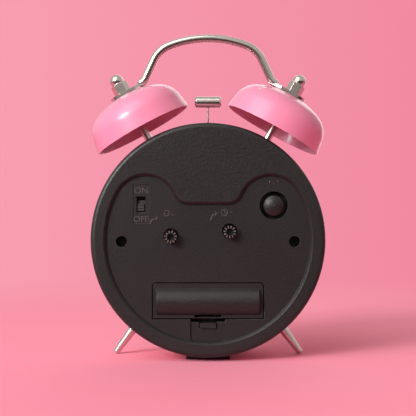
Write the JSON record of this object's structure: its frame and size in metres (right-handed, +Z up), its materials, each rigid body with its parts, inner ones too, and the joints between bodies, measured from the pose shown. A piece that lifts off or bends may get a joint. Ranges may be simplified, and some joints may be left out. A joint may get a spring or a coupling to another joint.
{
  "type": "twin bell alarm clock",
  "caption": "Battery alarm clock with a round sheet case, bells on posts, a swinging hammer, a carry handle, splayed feet, a rubber pad and a working back cover.",
  "frame": {"origin": "middle of the bounding box at floor level, under the clock", "axes": "+Z up; the dial faces -Y and the back cover faces +Y; +X is the right-hand side for someone who faces the dial"},
  "size_m": [0.12, 0.053, 0.167],
  "materials": {
    "cover_black": "matte grained",
    "case_pink": "gloss",
    "nickel": "satin",
    "glass_clear": "clear",
    "dial_white": "matte",
    "ring_white": "matte",
    "hand_black": "matte",
    "hand_red": "satin",
    "movement_grey": "matte",
    "gear_white": "satin",
    "board_green": "satin",
    "coil_copper": "satin",
    "steel": "satin",
    "brass": "satin",
    "cell_shell": "satin",
    "lamp_clear": "gloss",
    "knob_black": "satin",
    "screw_black": "satin",
    "pad_rubber": "matte"
  },
  "bodies": {
    "case": {"back_cover": "cover_black", "switch_body": "knob_black", "case_drum": "case_pink", "front_bezel": "case_pink", "bell_left": "case_pink", "bell_right": "case_pink", "bell_post_left": "nickel", "bell_post_right": "nickel", "cap_nut_left": "nickel", "cap_nut_right": "nickel", "carry_handle": "nickel", "foot_left": "nickel", "foot_right": "nickel", "stud_nuts": "steel", "hammer_pivot_pin": "steel", "striker_frame": "steel", "striker_screws": "steel", "bell_motor": "steel", "lens": "glass_clear", "dial_ring": "ring_white", "dial": "dial_white", "dial_frame": "ring_white", "movement_front_shell": "movement_grey", "movement_mid_plate": "movement_grey", "movement_rear_shell": "movement_grey", "circuit_board": "board_green", "quartz_crystal": "steel", "stepper_coil": "coil_copper", "stepper_stator": "steel", "cover_screws": "screw_black", "rest_pad": "pad_rubber", "battery": "cell_shell", "contact_positive": "steel", "contact_negative": "steel", "light_contact_leaf": "brass", "dial_lamp": "lamp_clear"},
    "seconds": {"second_hand": "hand_red", "seconds_wheel": "gear_white"},
    "minutes": {"minute_hand": "hand_black", "centre_wheel": "gear_white", "cannon_pinion": "gear_white"},
    "hours": {"hour_hand": "hand_black", "hour_wheel": "gear_white"},
    "alarm": {"alarm_hand": "hand_black", "alarm_wheel": "gear_white"},
    "third": {"third_wheel": "gear_white"},
    "step": {"step_wheel": "gear_white"},
    "rotor_shaft": {"rotor": "gear_white"},
    "time_setting": {"minute_wheel": "gear_white", "time_set_knob": "knob_black"},
    "alarm_setting": {"alarm_arbor": "gear_white", "alarm_set_knob": "knob_black"},
    "motor_shaft": {"motor_pinion": "gear_white"},
    "crank": {"crank_gear": "gear_white"},
    "hammer": {"hammer_lever": "steel", "hammer_wire": "steel", "hammer_head": "nickel"},
    "light": {"light_button": "cover_black"},
    "switch": {"switch_slider": "knob_black"},
    "door": {"battery_door": "cover_black"}
  },
  "joints": [
    {"name": "second_turn", "type": "hinge", "parent": "case", "child": "seconds", "pos_m": [0, 0, 0.06055], "axis": [0, 1, 0], "continuous": true},
    {"name": "minute_turn", "type": "hinge", "parent": "case", "child": "minutes", "pos_m": [0, 0, 0.06055], "axis": [0, 1, 0], "continuous": true},
    {"name": "hour_turn", "type": "hinge", "parent": "case", "child": "hours", "pos_m": [0, 0, 0.06055], "axis": [0, 1, 0], "continuous": true},
    {"name": "third_turn", "type": "hinge", "parent": "case", "child": "third", "pos_m": [-0.00305, 0, 0.05216], "axis": [0, 1, 0], "continuous": true},
    {"name": "step_turn", "type": "hinge", "parent": "case", "child": "step", "pos_m": [0.0045, 0, 0.06834], "axis": [0, 1, 0], "continuous": true},
    {"name": "rotor_turn", "type": "hinge", "parent": "case", "child": "rotor_shaft", "pos_m": [0.01214, 0, 0.07275], "axis": [0, 1, 0], "continuous": true},
    {"name": "time_set_turn", "type": "hinge", "parent": "case", "child": "time_setting", "pos_m": [-0.0108, 0, 0.06475], "axis": [0, 1, 0], "continuous": true},
    {"name": "alarm_turn", "type": "hinge", "parent": "case", "child": "alarm", "pos_m": [0, 0, 0.06055], "axis": [0, 1, 0], "continuous": true},
    {"name": "alarm_set_turn", "type": "hinge", "parent": "case", "child": "alarm_setting", "pos_m": [0.0185, 0, 0.06225], "axis": [0, 1, 0], "continuous": true},
    {"name": "bell_drive_turn", "type": "hinge", "parent": "case", "child": "crank", "pos_m": [0, 0, 0.09655], "axis": [0, 1, 0], "continuous": true},
    {"name": "motor_turn", "type": "hinge", "parent": "case", "child": "motor_shaft", "pos_m": [0.00672, 0, 0.09655], "axis": [0, 1, 0], "continuous": true},
    {"name": "hammer_swing", "type": "hinge", "parent": "case", "child": "hammer", "pos_m": [0, 0, 0.10455], "axis": [0, 1, 0], "range_deg": [-7.3, 7.3]},
    {"name": "light_press", "type": "slide", "parent": "case", "child": "light", "axis": [0, -1, 0], "range_m": [0, 0.0015], "stiffness_N_per_m": 400, "springref_m": -0.0005},
    {"name": "alarm_switch_slide", "type": "slide", "parent": "case", "child": "switch", "axis": [0, 0, 1], "range_m": [0, 0.003]},
    {"name": "battery_door_turn", "type": "hinge", "parent": "case", "child": "door", "pos_m": [0, 0.021, 0.03895], "axis": [1, 0, 0], "range_deg": [0, 70]}
  ],
  "couplings": [
    {"joint": "minute_turn", "follows": "second_turn", "ratio": 0.016667},
    {"joint": "hour_turn", "follows": "second_turn", "ratio": 0.0013889},
    {"joint": "third_turn", "follows": "second_turn", "ratio": -0.13333},
    {"joint": "step_turn", "follows": "second_turn", "ratio": -5},
    {"joint": "rotor_turn", "follows": "second_turn", "ratio": 30},
    {"joint": "time_set_turn", "follows": "second_turn", "ratio": -0.0055556},
    {"joint": "alarm_set_turn", "follows": "alarm_turn", "ratio": -4},
    {"joint": "motor_turn", "follows": "bell_drive_turn", "ratio": -3}
  ]
}
